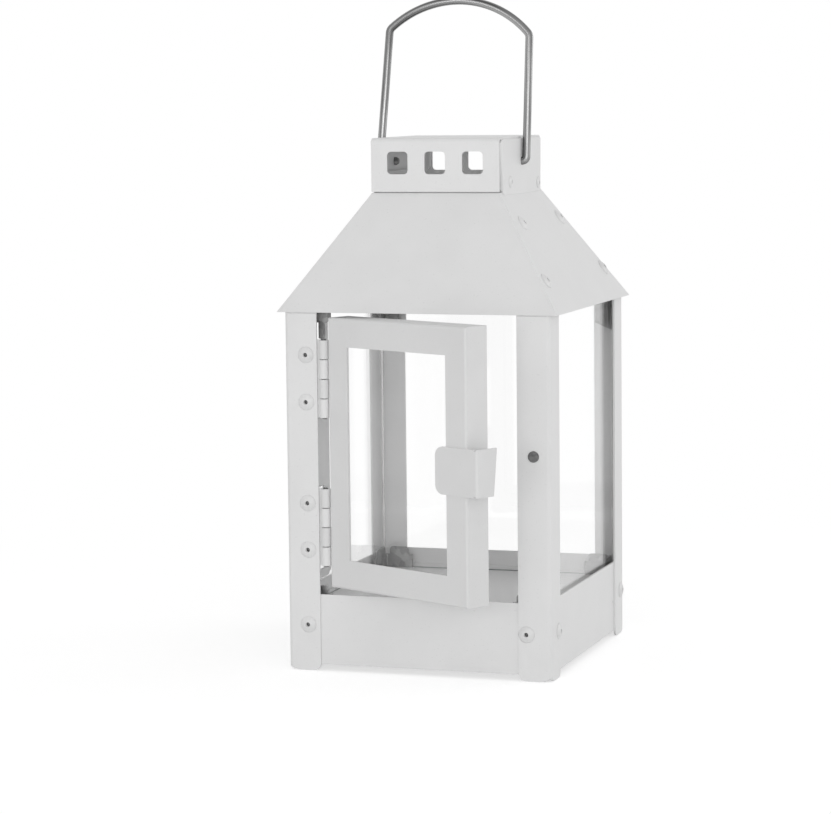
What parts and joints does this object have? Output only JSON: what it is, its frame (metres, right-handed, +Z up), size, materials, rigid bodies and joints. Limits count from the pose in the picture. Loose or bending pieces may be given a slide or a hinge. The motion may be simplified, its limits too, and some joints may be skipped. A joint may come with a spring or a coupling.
{
  "type": "candle lantern",
  "caption": "Small square sheet-metal candle lantern with corner posts, glazed sides, a hinged glazed door with a folded latch tab, a riveted pyramid roof, a vented cap and a wire handle.",
  "frame": {"origin": "on the ground in the middle between the four feet", "axes": "+X right along the front, -Y out of the door side, +Z up"},
  "size_m": [0.114, 0.1535, 0.2656],
  "materials": {
    "white_paint": "satin powder coat with a fine orange peel",
    "clear_glass": "clear float glass",
    "galvanised": "dull galvanised sheet",
    "steel_wire": "drawn steel wire",
    "dark_steel": "dull dark steel"
  },
  "bodies": {
    "body": {"post_front_left": "white_paint", "post_front_right": "white_paint", "post_back_left": "white_paint", "post_back_right": "white_paint", "base_front": "white_paint", "base_back": "white_paint", "base_left": "white_paint", "base_right": "white_paint", "floor_plate": "white_paint", "pane_left": "clear_glass", "pane_right": "clear_glass", "pane_back": "clear_glass", "corner_brackets": "galvanised", "corner_clips": "galvanised", "roof_front": "white_paint", "roof_back": "white_paint", "roof_left": "white_paint", "roof_right": "white_paint", "cap_cover": "white_paint", "cap_side_left": "white_paint", "cap_side_right": "white_paint", "hinge_upper_post_leaf": "white_paint", "hinge_lower_post_leaf": "white_paint", "hinge_pins": "steel_wire", "catch_disc": "dark_steel", "rivets_base": "white_paint", "rivets_hinge": "white_paint", "rivets_roof": "white_paint", "rivets_cap": "white_paint"},
    "door": {"door_frame": "white_paint", "door_pane": "clear_glass", "door_clips": "galvanised", "door_tab": "white_paint", "hinge_upper_door_leaf": "white_paint", "hinge_lower_door_leaf": "white_paint"},
    "handle": {"handle": "steel_wire"}
  },
  "joints": [
    {"name": "door_swing", "type": "hinge", "parent": "body", "child": "door", "pos_m": [-0.03763, -0.0572, 0.087], "axis": [0, 0, -1], "range_deg": [-20.1, 137.8]},
    {"name": "handle_swing", "type": "hinge", "parent": "body", "child": "handle", "pos_m": [0, 0, 0.1998], "axis": [1, 0, 0], "range_deg": [-95, 108]}
  ]
}
